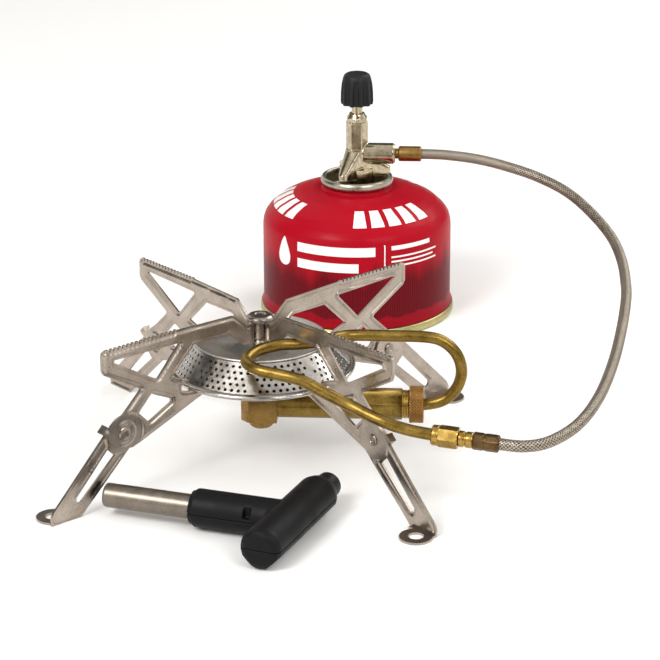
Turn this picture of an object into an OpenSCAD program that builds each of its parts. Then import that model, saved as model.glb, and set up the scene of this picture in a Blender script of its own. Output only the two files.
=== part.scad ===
// Remote-canister stove: folding four-leg stand, gas burner, preheat tube, braided hose, valve,
// gas canister and a loose T-handled lighter. Millimetres, +Z up, origin on the ground under the
// burner axis, +X along the mixing tube.

/* [Stand] */
// Thickness of the stamped leg plates
plate_t = 1; // [0.9:0.1:1.1]
// Height of the serrated edge that carries the pot
pot_z = 67; // [66.8:0.1:67.4]
// Radius of the outer tip of the pot arms
tip_r = 80.6; // [80:0.1:81]
// Distance of the fold rivet from the burner axis
rivet_r = 70.5; // [70:0.1:71]
// Height of the fold rivet
rivet_z = 29.8; // [29.5:0.1:30]
// Radius of the fold rivet's shank
rivet_shank_r = 1.5; // [1.3:0.1:1.8]
// Radius of the lower leg's round head
head_r = 7.2; // [6.8:0.1:7.2]
// Centre of the foot ring, out from the burner axis
ring_r = 101.5; // [101:0.1:102]
// Centre of the foot ring, sideways from the plate
ring_side = 7.2; // [7:0.1:7.4]
// Outer radius of the foot ring
ring_out_r = 6.6; // [6.2:0.1:6.8]
// Radius of the anchor hole in the foot ring
ring_hole_r = 3.1; // [2.8:0.1:3.4]
// Spacing of the serrations
tooth_pitch = 2.1; // [2:0.1:2.2]

/* [Burner] */
// Radius of the burner's rolled flange
flange_r = 39.2; // [38.8:0.1:39.4]
// Height of the flange's top face
flange_z = 42; // [41.8:0.1:42]
// Radius of the perforated cone at its foot
cone_foot_r = 36.8; // [36:0.1:37]
// Radius of the burner's upper rim
rim_r = 27.5; // [27:0.1:28]
// Height of the burner's upper rim
rim_z = 52.6; // [52:0.1:52.6]
// Thickness of the burner sheet
sheet_t = 0.6; // [0.5:0.1:0.8]
// Radius of the centre post
post_r = 3.45; // [3.3:0.05:3.5]
// Radius of the cap on the post
cap_r = 5.6; // [5.4:0.1:6]
// Radius of the neck that the leg eyes turn on
neck_r = 5; // [4.9:0.05:5]

/* [Gas path] */
// Radius of the mixing tube
mix_r = 6.5; // [6.3:0.1:6.5]
// Height of the mixing tube's axis
mix_z = 24.3; // [24.2:0.1:24.5]
// Length of the mixing tube from the burner axis
mix_end_x = 58.4; // [58:0.1:58.6]
// Radius of the knurled nut
nut_r = 7.8; // [7.5:0.1:8]
// Radius of the brass preheat tube
tube_r = 2.4; // [2.2:0.1:2.4]
// Radius of the braided hose
hose_r = 2.4; // [2.2:0.1:2.6]

/* [Valve] */
// Where the valve and canister axis stands, along X
valve_x = 30; // [29:0.5:31]
// Where the valve and canister axis stands, along Y
valve_y = 183; // [182:0.5:184]
// Height of the outlet arm's axis
arm_z = 77.2; // [77:0.1:77.4]
// Radius of the knob at its foot
knob_r = 7.7; // [7.4:0.1:8]
// Number of flutes round the knob
knob_flutes = 10; // [8:1:12]

/* [Canister] */
// Radius of the canister body
can_r = 45; // [44.5:0.1:45.5]
// Radius of the rolled base rim
can_rim_r = 46.7; // [46.5:0.1:47]
// Height where the shoulder starts
shoulder_z = 43; // [42:0.5:44]
// Wall of the canister
can_wall = 0.8; // [0.7:0.1:1]
// Outer radius of the collar round the canister valve
collar_r = 17.3; // [17:0.1:17.5]

/* [Lighter] */
// Where the middle of the lighter's handle lies, along X
lighter_x = 18.4; // [18:0.2:19]
// Where the middle of the lighter's handle lies, along Y
lighter_y = -81.5; // [-84:0.5:-81.5]
// Turn of the lighter's barrel about Z
lighter_turn = -15; // [-16:0.5:-14]
// Radius of the lighter's handle
grip_r = 8.4; // [8.2:0.1:8.6]
// Radius of the lighter's barrel
barrel_r = 7.65; // [7.4:0.05:7.8]
// Radius of the lighter's steel tube
guard_r = 4.9; // [4.8:0.05:5]
// Length of the button that shows at rest
button_out = 9; // [8:0.5:9]

/* [Hidden] */
$fn = 48;
leg_az = [225, 315, 135, 45];
leg_side = plate_t / 2 + 0.1;
neck_bore = neck_r + 0.08;
eye_t = 0.9;
eye_step = 1.1;
eye_z = 34.2;
pin_fit = 0.05;

// Preheat tube: a vertical bend at the nut, over the burner, round its front and out to the connector
bend_c = [67.8, 0, 39.2];
bend_r = 14.9;
tube_run = [
    [52, 0, 54.3], [38, -1.5, 54.8], [30, -7, 55.4], [25, -11, 55.6], [20, -13.5, 55.6],
    [15, -15, 55.6], [9.5, -17, 56], [2, -23.5, 56.2], [-2, -30.5, 55.8], [-2, -35.5, 55],
    [3, -41, 54.3], [10.5, -43, 53.5], [20, -45, 52], [29.5, -46.5, 47.5], [40, -48.7, 43],
    [51.3, -54.8, 40], [61.5, -56.8, 37.2], [72, -58, 35.6]
];
tube_route = concat(
    [[61.6, 0, mix_z]],
    [for (a = [-90 : 30 : 90]) bend_c + bend_r * [cos(a), 0, sin(a)]],
    tube_run
);

// Connector between the preheat tube and the hose
joint_p = [72, -58, 35.6];
joint_az = -10;
joint_dip = 3;

// Hose: from the crimp sleeve in one stiff arc to the valve's outlet
hose_route = [
    [98.3, -62.6, 34.2], [108, -63.8, 34], [118, -58.5, 34], [129, -42.5, 34.5], [138, -18, 36],
    [145, 13, 38.5], [150, 45, 42], [153, 71, 46], [153.5, 86, 48.5], [152.5, 105, 52.5],
    [148.5, 124, 57], [140, 143.5, 62], [129.5, 159.5, 66.5], [116, 171.5, 70],
    [101, 178.5, 73], [87, 182, 75.3], [72.5, 183, 76.8], [60.6, 183, 77.2]
];

// ---- Shared shapes ----

// Stands a radial profile (x = radius, y = height) up at leg k; its own +z is the clockwise side
module at_leg(k) {
    rotate([0, 0, leg_az[k]]) rotate([90, 0, 0]) children();
}

// A cylinder along +X from x0 to x1
module rod_x(x0, x1, r) {
    translate([x0, 0, 0]) rotate([0, 90, 0]) cylinder(r = r, h = x1 - x0);
}

// Moves children to the connector's axis
module at_connector() {
    translate(joint_p) rotate([0, joint_dip, joint_az]) children();
}

// Moves children to the valve's axis
module at_valve() {
    translate([valve_x, valve_y, 0]) children();
}

// Moves children to the lighter: middle of the handle at the origin, tube towards -X
module at_lighter() {
    translate([lighter_x, lighter_y, grip_r]) rotate([0, 0, lighter_turn]) children();
}

function unit(v) = v / norm(v);
function tangent(p, i) = unit(p[min(i + 1, len(p) - 1)] - p[max(i - 1, 0)]);
function squared(n, t) = unit(n - (n * t) * t);
function normals(p, n, i = 0) =
    i == len(p) ? [] : let (m = squared(n, tangent(p, i))) concat([m], normals(p, m, i + 1));
function curve_at(a, b, c, d, u) =
    0.5 * (2 * b + (c - a) * u + (2 * a - 5 * b + 4 * c - d) * u * u
        + (3 * b - a - 3 * c + d) * u * u * u);
function smooth(p, n) = concat(
    [for (i = [0 : len(p) - 2]) for (k = [0 : n - 1])
        curve_at(p[max(i - 1, 0)], p[i], p[i + 1], p[min(i + 2, len(p) - 1)], k / n)],
    [p[len(p) - 1]]
);

// A round tube of the given radius swept along the points p
module swept(p, r, sides, first) {
    ns = normals(p, first);
    last = (len(p) - 1) * sides;
    pts = [for (i = [0 : len(p) - 1]) let (t = tangent(p, i), b = cross(t, ns[i]))
        for (j = [0 : sides - 1]) p[i] + r * (cos(360 * j / sides) * ns[i] + sin(360 * j / sides) * b)];
    walls = [for (i = [0 : len(p) - 2]) for (j = [0 : sides - 1])
        let (a = i * sides + j, b = i * sides + (j + 1) % sides)
        for (f = [[a, a + sides, b + sides], [a, b + sides, b]]) f];
    ends = [[for (j = [0 : sides - 1]) j], [for (j = [sides - 1 : -1 : 0]) last + j]];
    polyhedron(points = pts, faces = concat(walls, ends));
}

// ---- Stand ----

// Outline of the C-shaped leg plate, with its window and its triangle still closed
module plate_outline() {
    polygon([
        [3.9, 51.6], [3.9, 59.3], [7.2, 59.3], [14.4, 65.5], [43, pot_z - 0.5], [43.6, pot_z],
        [78.6, pot_z], [80.2, pot_z - 0.8], [tip_r, pot_z - 2.2], [tip_r, 58.6], [79.6, 56.8],
        [63, 47.3], [62.3, 46.3], [63, 45.4], [70.6, 38.4], [77.4, 33.6], [79.4, 31.2],
        [78, 28], [74.2, 24.6], [70.5, 23.4], [67, 23], [63, 24.2], [31, 36], [24, 35.2],
        [8.8, 34.2], [8.8, 38.4], [30, 38.9], [38.6, 39.2], [41.7, 40.2], [41.7, 42.6],
        [39.2, 42.7], [38.3, 43.3], [38.3, 44.5], [39.2, 45.1], [46.4, 47.5],
        [35, 58.5], [17.5, 58.5], [8.9, 51.6]
    ]);
}

// The open triangle under the pot arm and the four-sided window above the rivet
module plate_windows() {
    polygon([[74.2, 61.9], [43, 61], [42.6, 60.3], [53.4, 48.8], [54.2, 48.8], [74.6, 61]]);
    polygon([[57, 43.2], [47.4, 38.6], [47.2, 37], [58, 31.7], [59, 31.9], [63.2, 36.4], [63.2, 37]]);
}

// Serrations cut into the pot arm
module serrations() {
    for (i = [0 : 15])
        translate([44.6 + i * tooth_pitch, pot_z])
            polygon([[-0.1, 0.5], [0, -0.1], [0.35, -1.1], [0.75, -1.1], [1.1, -0.1], [1.2, 0.5]]);
}

// Leg plate k: plate, stop tab bent over the lower leg, and the eye round the burner neck
module leg_plate(k) {
    color("lightslategray") {
        at_leg(k) {
            linear_extrude(plate_t, center = true)
                difference() {
                    plate_outline();
                    plate_windows();
                    serrations();
                    translate([rivet_r, rivet_z]) circle(r = rivet_shank_r + pin_fit);
                }
            translate([78.6, 32, 0]) rotate([0, 0, -45]) translate([-1.8, 0, -plate_t / 2]) {
                cube([3.6, 2.7, plate_t]);
                translate([0, 1.6, 0]) cube([3.6, 1.1, plate_t + 2.2]);
            }
        }
        rotate([0, 0, leg_az[k]]) translate([0, 0, eye_z + k * eye_step]) difference() {
            union() {
                cylinder(r = 8, h = eye_t);
                translate([6.5, -1.5, 0]) cube([3.1, 3, eye_t]);
            }
            translate([0, 0, -1]) cylinder(r = neck_bore, h = eye_t + 2);
        }
    }
}

// Lower leg k: slotted strip with a round head and a foot ring turned flat on the ground
module lower_leg(k) {
    color("lightgray") at_leg(k) {
        translate([0, 0, leg_side]) linear_extrude(plate_t)
            difference() {
                union() {
                    translate([rivet_r, rivet_z]) circle(r = head_r);
                    polygon([[rivet_r + 5.1, rivet_z + 5.1], [rivet_r - 5.1, rivet_z - 5.1],
                        [90.6, 1.8], [92.4, 0], [106.4, 0], [106.6, 3.2], [105.4, 5.5]]);
                }
                translate([rivet_r, rivet_z]) circle(r = rivet_shank_r + pin_fit);
                polygon([[75.2, 21.4], [78.6, 24.8], [94.4, 8.6], [94.4, 7.2], [93.6, 6.2],
                    [92.2, 6.4]]);
            }
        translate([0, 1, 0]) rotate([90, 0, 0]) linear_extrude(1) difference() {
            union() {
                translate([ring_r, ring_side]) circle(r = ring_out_r);
                translate([93.4, leg_side]) square([13, 3]);
            }
            translate([ring_r, ring_side]) circle(r = ring_hole_r);
        }
    }
}

// Fold rivet k: shank through plate and lower leg, a flat head each side
module fold_rivet(k) {
    low = -plate_t / 2 - 0.1;
    high = leg_side + plate_t + 0.1;
    color("silver") at_leg(k) translate([rivet_r, rivet_z, 0]) {
        translate([0, 0, low - 0.7]) cylinder(r = rivet_shank_r, h = high - low + 1.4);
        translate([0, 0, low - 0.7]) cylinder(r = 3.2, h = 0.7);
        translate([0, 0, high]) cylinder(r = 2.4, h = 0.7);
    }
}

// ---- Burner ----

// Dished bowl with a rolled rim
module burner_bowl() {
    color("gainsboro") rotate_extrude() difference() {
        union() {
            polygon([[2.3, 45.4], [12, 46.4], [20, 48.8], [rim_r - 0.6, rim_z - 0.6],
                [rim_r - 0.2, rim_z], [19.6, 49.6], [12, 47.2], [2.3, 46.2]]);
            translate([rim_r - 0.2, rim_z - 0.2]) circle(r = 0.5);
        }
        translate([-1, 0]) square([3.3, 60]);
    }
}

// Conical skirt of the burner, bored all over with small flame ports
module burner_cone() {
    foot = flange_z + 0.05;
    color("silver") rotate_extrude()
        polygon([[cone_foot_r, foot], [rim_r, rim_z - 0.9], [rim_r - sheet_t * 1.4, rim_z - 0.9],
            [cone_foot_r - sheet_t * 1.4, foot]]);
}

// Flange plate with a rolled edge
module burner_base() {
    color("gainsboro") rotate_extrude() {
        polygon([[5.1, flange_z - 0.8], [flange_r - 1.1, flange_z - 0.8], [flange_r - 1.1, flange_z],
            [5.1, flange_z]]);
        translate([flange_r - 1.1, flange_z - 1]) circle(r = 1.1);
    }
}

// Centre post that ties the bowl down and carries the cap over the plates' inner ends
module centre_post() {
    color("silver") {
        translate([0, 0, 42.2]) cylinder(r = 2.15, h = 12);
        translate([0, 0, 47.6]) cylinder(r = post_r, h = 4.4);
        translate([0, 0, 51.9]) cylinder(r = post_r - 0.4, h = 0.9);
        translate([0, 0, 52.7]) cylinder(r = post_r, h = 7.1);
        translate([0, 0, 59.7]) rotate_extrude()
            polygon([[0, 0], [cap_r - 1.4, 0], [cap_r - 0.3, 0.6], [cap_r, 1.4], [cap_r - 0.2, 2.3],
                [cap_r - 1.1, 3], [2.6, 3.2], [2, 2.8], [0, 2.7]]);
    }
}

// Nut under the bowl on the post's thread
module post_nut() {
    color("silver") translate([0, 0, 42.4]) difference() {
        cylinder(r = 4.4, h = 2.9, $fn = 6);
        translate([0, 0, -1]) cylinder(r = 2.2, h = 5);
    }
}

// Washer between the leg eyes and the flange
module hub_washer() {
    color("silver") translate([0, 0, 38.6]) difference() {
        cylinder(r = 8, h = 2.5);
        translate([0, 0, -1]) cylinder(r = neck_bore, h = 5);
    }
}

// Short upright gas neck that the leg eyes turn on
module burner_neck() {
    color("darkgoldenrod") translate([0, 0, 33.5]) difference() {
        cylinder(r = neck_r, h = 8.6);
        translate([0, 0, -1]) cylinder(r = 3.6, h = 11);
    }
}

// Brass block under the burner, chamfered on the side away from the mixing tube
module brass_block() {
    color("peru") difference() {
        translate([0, 0, 17.5]) linear_extrude(16)
            polygon([[7, -7.5], [7, 7.5], [-4.8, 7.5], [-8, 4.3], [-8, -4.3], [-4.8, -7.5]]);
        translate([0, 0, 16]) cylinder(r = 3.6, h = 19);
        translate([0, 0, mix_z]) rod_x(0, 8, 4.6);
    }
}

// Plug that closes the block from below
module bottom_plug() {
    color("peru") {
        translate([0, 0, 13.6]) cylinder(r1 = 4.2, r2 = 5.1, h = 1);
        translate([0, 0, 14.6]) cylinder(r = 5.1, h = 2.9);
        translate([0, 0, 17.5]) cylinder(r = 3.5, h = 3);
    }
}

// Mixing tube with four air ports and a threaded neck for the nut
module mixing_tube() {
    color("goldenrod") translate([0, 0, mix_z]) difference() {
        union() {
            rod_x(7, mix_end_x, mix_r);
            rod_x(mix_end_x, 65.2, 5.6);
        }
        rod_x(6, 49.5, 5.3);
        rod_x(49.4, 66, 4.7);
        for (a = [0 : 90 : 270]) rotate([a, 0, 0]) translate([37, -2, 0]) cube([7.5, 4, 9]);
    }
}

// Holder screwed into the mixing tube for the jet
module jet_holder() {
    color("goldenrod") translate([0, 0, mix_z]) difference() {
        rod_x(50, 61.2, 4.6);
        rod_x(49, 55, 2.1);
        rod_x(54, 62, 1);
    }
}

// Gas jet
module jet() {
    color("gold") translate([0, 0, mix_z]) difference() {
        union() {
            rod_x(46.5, 50, 2.6);
            rod_x(50, 54, 2);
        }
        rod_x(47.5, 55, 0.8);
        rod_x(46, 48, 0.3);
    }
}

// Olive that seals the preheat tube's end under the knurled nut
module tube_olive() {
    color("gold") translate([0, 0, mix_z]) difference() {
        rod_x(61.7, 65.2, 4.5);
        rod_x(61, 66, tube_r + 0.15);
    }
}

// Knurled nut on the mixing tube's neck
module knurled_nut() {
    color("orange") translate([0, 0, mix_z]) difference() {
        rod_x(61.4, 67.4, nut_r);
        rod_x(61, 65.5, 5.68);
        rod_x(65, 68, tube_r + 0.3);
    }
}

// Preheat tube
module preheat_tube() {
    color("darkgoldenrod") swept(smooth(tube_route, 2), tube_r, 12, [0, 1, 0]);
}

// ---- Hose ----

// Hexagonal union nut at the end of the preheat tube
module connector_nut() {
    color("peru") at_connector() {
        rod_x(0, 2.6, 4.1);
        translate([2.6, 0, 0]) rotate([0, 90, 0]) cylinder(r = 4.4, h = 8, $fn = 6);
    }
}

// Ferrule between the union nut and the crimp sleeve
module hose_ferrule() {
    color("goldenrod") at_connector() translate([10.6, 0, 0]) rotate([0, 90, 0])
        cylinder(r = 3.3, h = 5.8, $fn = 6);
}

// Crimp sleeve over the end of the hose
module hose_sleeve() {
    color("sienna") at_connector() translate([16.4, 0, 0]) rotate([0, 90, 0])
        cylinder(r = 3.6, h = 10.3, $fn = 8);
}

// Braided hose
module hose() {
    color("gray") swept(smooth(hose_route, 3), hose_r, 12, [0, 0, 1]);
}

// Brass nipple and crimp ferrule at the valve end of the hose
module outlet_ferrule() {
    color("goldenrod") at_valve() translate([0, 0, arm_z]) {
        rod_x(17.6, 20, 2.4);
        rod_x(20, 30.6, 3.65);
    }
}

// ---- Valve ----

// One sloping finger wing of the valve casting, from height top at the hub to its tip at reach
module wing(turn, top, reach) {
    rotate([0, 0, turn]) {
        hull() {
            translate([1, 0, 66]) cylinder(r = 4.9, h = top - 66, $fn = 32);
            translate([reach, 0, 67.1]) cylinder(r = 2.5, h = 3, $fn = 32);
        }
        translate([6, -2, 62.4]) cube([reach - 6, 4, 5]);
    }
}

// Valve casting: hexagonal column, outlet arm, threaded coupling and three wings
module valve_body() {
    color("silver") at_valve() difference() {
        union() {
            translate([0, 0, 66]) cylinder(r = 5.3, h = 27, $fn = 6);
            translate([0, 0, arm_z]) rod_x(0, 17.4, 5);
            translate([0, 0, arm_z]) rod_x(17.4, 18.2, 4.4);
            translate([0, 0, 60.6]) cylinder(r = 8.2, h = 10);
            wing(-114, 79.5, 13.6);
            wing(10, 76, 13.6);
            wing(124, 74, 11.6);
        }
        translate([0, 0, 60]) cylinder(r = 5.62, h = 6.8);
        translate([0, 0, 66]) cylinder(r = 1, h = 16);
        translate([0, 0, 79]) cylinder(r = 2.65, h = 15);
        translate([0, 0, arm_z]) rod_x(0, 17.6, 1);
        translate([0, 0, arm_z]) rod_x(17.5, 19, 2.45);
    }
}

// Gland nut that closes the column round the spindle
module gland_nut() {
    color("silver") at_valve() difference() {
        union() {
            translate([0, 0, 93]) cylinder(r = 5.3, h = 2, $fn = 6);
            translate([0, 0, 95]) cylinder(r1 = 4.7, r2 = 3.6, h = 2);
        }
        translate([0, 0, 92]) cylinder(r = 2.65, h = 6);
    }
}

// Needle spindle turned by the knob
module spindle() {
    color("silver") at_valve() difference() {
        union() {
            translate([0, 0, 79.3]) cylinder(r1 = 0.6, r2 = 2.6, h = 3);
            translate([0, 0, 82.3]) cylinder(r = 2.6, h = 26);
        }
        translate([0, 0, 89]) rotate_extrude() translate([2.6, 0]) square([1.2, 1.4], center = true);
    }
}

// O-ring in the spindle's groove
module spindle_seal() {
    color("dimgray") at_valve() translate([0, 0, 89]) rotate_extrude()
        translate([2.3, 0]) circle(r = 0.3, $fn = 24);
}

// Fluted control knob
module knob() {
    color("black") at_valve() difference() {
        translate([0, 0, 101.3]) rotate_extrude()
            polygon([[0, 0], [knob_r - 0.3, 0], [knob_r, 1.5], [knob_r - 0.1, 6], [knob_r - 0.5, 10],
                [knob_r - 1.1, 12.8], [knob_r - 1.7, 14.2], [knob_r - 2.8, 14.9], [0, 15]]);
        translate([0, 0, 100]) cylinder(r = 2.6, h = 8.3);
        for (i = [0 : knob_flutes - 1])
            rotate([0, 0, (i + 0.5) * 360 / knob_flutes]) translate([knob_r + 0.2, 0, 100])
                cylinder(r = 1.6, h = 13.2, $fn = 24);
    }
}

// Rubber washer at the bottom of the coupling's thread
module coupling_seal() {
    color("dimgray") at_valve() translate([0, 0, 65.3]) difference() {
        cylinder(r = 5.5, h = 1.4);
        translate([0, 0, -1]) cylinder(r = 2.6, h = 4);
    }
}

// Pin that opens the canister's valve
module valve_pin() {
    color("silver") at_valve() translate([0, 0, 63.4]) cylinder(r = 0.9, h = 5.4);
}

// ---- Canister ----

// Drawn steel shell with a domed shoulder
module canister_shell() {
    color("firebrick") at_valve() rotate_extrude() difference() {
        polygon([[0, 4.2], [can_r + 1, 4.2], [can_r, 8], [can_r, shoulder_z],
            [can_r - 0.8, shoulder_z + 4], [can_r - 3, shoulder_z + 7.6],
            [can_r - 7, shoulder_z + 11.2], [can_r - 12, shoulder_z + 13.9],
            [can_r - 18, shoulder_z + 16], [can_r - 24, shoulder_z + 17.3],
            [16.4, shoulder_z + 18], [16.4, shoulder_z + 19.2], [0, shoulder_z + 19.2]]);
        polygon([[-1, 3], [can_r - can_wall, 3], [can_r - can_wall, shoulder_z],
            [can_r - 3.8, shoulder_z + 6.6], [can_r - 7.6, shoulder_z + 10.2],
            [can_r - 18.4, shoulder_z + 14.9], [15.6, shoulder_z + 16.8],
            [15.6, shoulder_z + 20], [-1, shoulder_z + 20]]);
    }
}

// Inward-domed base of the canister
module canister_base() {
    color("gray") at_valve() rotate_extrude()
        polygon([[0, 9], [15, 8.4], [30, 6.4], [42.6, 2.4], [43.6, 2.4], [43.6, 3.2], [30, 7.4],
            [15, 9.4], [0, 10]]);
}

// Rolled seam that the canister stands on
module base_rim() {
    color("silver") at_valve() rotate_extrude()
        polygon([[43.8, 0.6], [44.6, 0], [45.9, 0], [can_rim_r, 0.9], [can_rim_r, 3.2],
            [can_rim_r - 0.7, 4.1], [43.8, 4.1]]);
}

// Collar and valve cup
module canister_collar() {
    color("silver") at_valve() rotate_extrude() {
        polygon([[15.3, 58.8], [15.3, 62.6], [collar_r - 0.6, 62.5], [collar_r, 63.6],
            [collar_r, 65.2], [collar_r - 0.7, 66.3], [15.9, 66.6], [15, 66.2], [14.6, 65.2],
            [14.6, 59.6], [8, 58.6], [6, 58.6], [6, 57.8], [9, 57.8]]);
    }
}

// Threaded boss of the canister's own valve
module canister_valve() {
    color("silver") at_valve() difference() {
        translate([0, 0, 54]) cylinder(r = 5.55, h = 11);
        translate([0, 0, 53]) cylinder(r = 3, h = 10);
        translate([0, 0, 62]) cylinder(r = 1.6, h = 4);
    }
}

// Sprung stem inside the boss
module canister_stem() {
    color("dimgray") at_valve() {
        translate([0, 0, 59.4]) cylinder(r = 2.8, h = 2.2);
        translate([0, 0, 61.6]) cylinder(r = 1.4, h = 1.7);
    }
}

// Spring under the stem
module canister_spring() {
    color("silver") at_valve() for (i = [0 : 3])
        translate([0, 0, 55 + i * 1.2]) rotate_extrude() translate([2.2, 0]) circle(r = 0.3, $fn = 16);
}

// ---- Lighter ----

// Turns children to the handle, whose axis becomes +Z towards the button
module along_handle() {
    rotate([0, 0, -5]) rotate([-90, 0, 0]) children();
}

// Steel guard tube
module lighter_tube() {
    color("silver") at_lighter() difference() {
        rod_x(-77, -33, guard_r);
        rod_x(-78, -32, guard_r - 0.5);
    }
}

// Barrel and T-handle as one moulding, hollow inside
module grip_body() {
    difference() {
        union() {
            rod_x(-38.8, 0, barrel_r);
            rod_x(-40.4, -38.8, barrel_r - 0.9);
            along_handle() difference() {
                rotate_extrude()
                    polygon([[0, -29.7], [5.8, -29.7], [7.6, -28.8], [grip_r, -26.8], [grip_r, 25],
                        [grip_r - 0.8, 27.8], [7, 29], [0, 29]]);
                for (a = [45, 135])
                    rotate([0, 0, a]) translate([7.3, -10, -31]) cube([5, 20, 62]);
            }
        }
        rod_x(-41, -25, guard_r + 0.05);
        translate([-17, -9, 1.2]) cube([2.8, 4, 4.6]);
        rod_x(-26, -1, 3);
        along_handle() {
            translate([-3.6, -4.5, -14]) cube([7.2, 9, 40]);
            translate([0, 0, 21.5]) cylinder(r = 5.45, h = 9);
        }
    }
}

// Upper half of the grip
module lighter_grip_upper() {
    color("black") at_lighter() intersection() {
        grip_body();
        translate([-60, -60, 0.05]) cube([120, 120, 20]);
    }
}

// Lower half of the grip
module lighter_grip_lower() {
    color("black") at_lighter() intersection() {
        grip_body();
        translate([-60, -60, -20.05]) cube([120, 120, 20]);
    }
}

// Thumb button in the end of the handle, with a peg that guides its spring
module lighter_button() {
    color("black") at_lighter() along_handle() {
        translate([0, 0, 25.5]) cylinder(r = 5.3, h = button_out + 2.4);
        translate([0, 0, 27.9 + button_out]) cylinder(r1 = 5.3, r2 = 4.4, h = 1.2);
        translate([0, 0, 18]) cylinder(r = 1.5, h = 7.5);
    }
}

// Return spring behind the button
module lighter_spring() {
    color("silver") at_lighter() along_handle() for (i = [0 : 5])
        translate([0, 0, 13.6 + i * 1.4]) rotate_extrude() translate([2.2, 0]) circle(r = 0.35, $fn = 16);
}

// Piezo striker
module lighter_piezo() {
    color("ivory") at_lighter() along_handle() translate([-3, -4, -13]) cube([6, 8, 26]);
}

// Ceramic insulator in the tube
module lighter_insulator() {
    color("white") at_lighter() rod_x(-62, -4.2, 2.6);
}

// Spark electrode
module lighter_electrode() {
    color("silver") at_lighter() rod_x(-73, -62, 0.8);
}

// ---- Parts ----

leg_plate(0);  // leg_front_left
leg_plate(1);  // leg_front_right
leg_plate(2);  // leg_rear_left
leg_plate(3);  // leg_rear_right
lower_leg(0);  // lower_leg_front_left
lower_leg(1);  // lower_leg_front_right
lower_leg(2);  // lower_leg_rear_left
lower_leg(3);  // lower_leg_rear_right
fold_rivet(0);  // rivet_front_left
fold_rivet(1);  // rivet_front_right
fold_rivet(2);  // rivet_rear_left
fold_rivet(3);  // rivet_rear_right
burner_bowl();
burner_cone();
burner_base();
centre_post();
post_nut();
hub_washer();
burner_neck();
brass_block();
bottom_plug();
mixing_tube();
jet_holder();
jet();
tube_olive();
knurled_nut();
preheat_tube();
connector_nut();
hose_ferrule();
hose_sleeve();
hose();
outlet_ferrule();
valve_body();
gland_nut();
spindle();
spindle_seal();
knob();
coupling_seal();
valve_pin();
canister_shell();
canister_base();
base_rim();
canister_collar();
canister_valve();
canister_stem();
canister_spring();
lighter_tube();
lighter_grip_upper();
lighter_grip_lower();
lighter_button();
lighter_spring();
lighter_piezo();
lighter_insulator();
lighter_electrode();
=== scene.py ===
import math

import bmesh
import bpy
import numpy as np
from mathutils import Matrix, Vector
from mathutils.geometry import delaunay_2d_cdt


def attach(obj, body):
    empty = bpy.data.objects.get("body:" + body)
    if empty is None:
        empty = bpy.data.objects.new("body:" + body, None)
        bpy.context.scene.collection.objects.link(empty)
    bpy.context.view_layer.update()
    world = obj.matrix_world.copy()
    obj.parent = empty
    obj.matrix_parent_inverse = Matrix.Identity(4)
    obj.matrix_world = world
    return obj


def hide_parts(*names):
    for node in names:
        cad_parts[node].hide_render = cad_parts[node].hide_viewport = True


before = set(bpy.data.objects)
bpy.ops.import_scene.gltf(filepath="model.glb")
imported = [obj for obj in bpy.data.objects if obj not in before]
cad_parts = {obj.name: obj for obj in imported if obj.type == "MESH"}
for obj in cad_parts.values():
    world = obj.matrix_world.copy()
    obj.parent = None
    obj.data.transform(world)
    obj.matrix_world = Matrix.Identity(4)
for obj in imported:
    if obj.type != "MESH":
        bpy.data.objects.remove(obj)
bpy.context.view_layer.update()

MM = 0.001
# Places from the part's own design, in millimetres: the valve's and can's shared axis, the radius
# of the can, and each fold rivet's reach and height.
VALVE_AXIS = (30, 183, 0)
CAN_R = 45
RIVET = (70.5, 29.8)
# Width of the slight grain on ink, rubber and ceramic.
PLAIN_GRAIN = 0.6
LEGS = {"front_left": 225, "front_right": 315, "rear_left": 135, "rear_right": 45}


# ---------------------------------------------------------------- camera

def set_camera():
    """Camera level with a tabletop view: 1.02 m away, 22 degrees up, a long lens."""
    right = Vector((0.9979957, 0.0631881, -0.0034294))
    up = Vector((-0.0191611, 0.3533912, 0.9352794))
    back = right.cross(up)
    data = bpy.data.cameras.new("camera")
    data.sensor_width = 36
    data.lens = 134.84
    data.clip_end = 20
    camera = bpy.data.objects.new("camera", data)
    camera.matrix_world = Matrix.Translation((0.089675, -0.944006, 0.414286)) @ Matrix(
        (right, up, back)).transposed().to_4x4()
    bpy.context.collection.objects.link(camera)
    bpy.context.scene.camera = camera


# ---------------------------------------------------------------- surface maths

def catmull(points, steps):
    """Smooth line through the points: each span is the cubic whose end slopes are half the chord
    between its neighbours, sampled steps times."""
    p = np.array(points, float)
    q = np.vstack([p[:1], p, p[-1:]])
    a, b, c, d = (q[i:len(q) - 3 + i, None, :] for i in range(4))
    u = (np.arange(steps) / steps)[None, :, None]
    spans = 0.5 * (2 * b + (c - a) * u + (2 * a - 5 * b + 4 * c - d) * u ** 2
                   + (3 * b - a - 3 * c + d) * u ** 3)
    return np.vstack([spans.reshape(-1, 3), p[-1:]])


def grid_faces(rows, columns, wrap_rows=False):
    """Quads of a grid that closes on itself across its columns, and across its rows if asked:
    corner (i, j) joins (i, j+1), (i+1, j+1) and (i+1, j)."""
    i, j = np.meshgrid(np.arange(rows - (not wrap_rows)), np.arange(columns), indexing="ij")
    i, j = i.ravel(), j.ravel()
    i2, j2 = (i + 1) % rows, (j + 1) % columns
    return np.stack([i * columns + j, i * columns + j2, i2 * columns + j2, i2 * columns + j], 1)


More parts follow.
